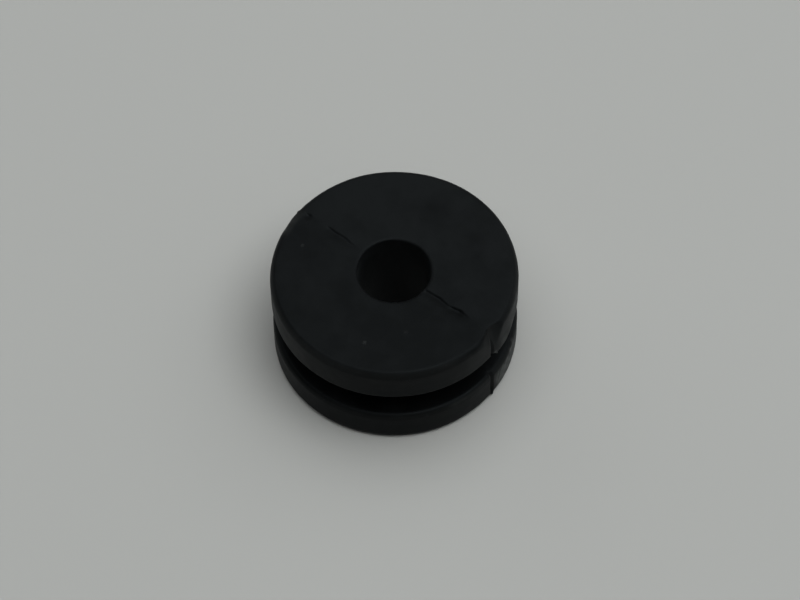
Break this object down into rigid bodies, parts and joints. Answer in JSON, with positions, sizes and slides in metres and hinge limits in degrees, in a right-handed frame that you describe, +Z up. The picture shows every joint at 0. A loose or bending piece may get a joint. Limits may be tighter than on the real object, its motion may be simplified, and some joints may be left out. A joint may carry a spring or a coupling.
{
  "type": "rubber mount",
  "caption": "Round black rubber mount with a panel groove between its flanges, a plain through bore and the parting line of its split mould.",
  "frame": {"origin": "on the bore's axis at the bottom face", "axes": "+Z up the bore, +X along the mould's parting line, +Y across it"},
  "size_m": [0.0204, 0.0202, 0.0095],
  "materials": {
    "rubber": "matte moulded rubber, near black, with faint dust and a dull worn rim"
  },
  "bodies": {
    "root": {"rubber_mount": "rubber"}
  },
  "joints": []
}
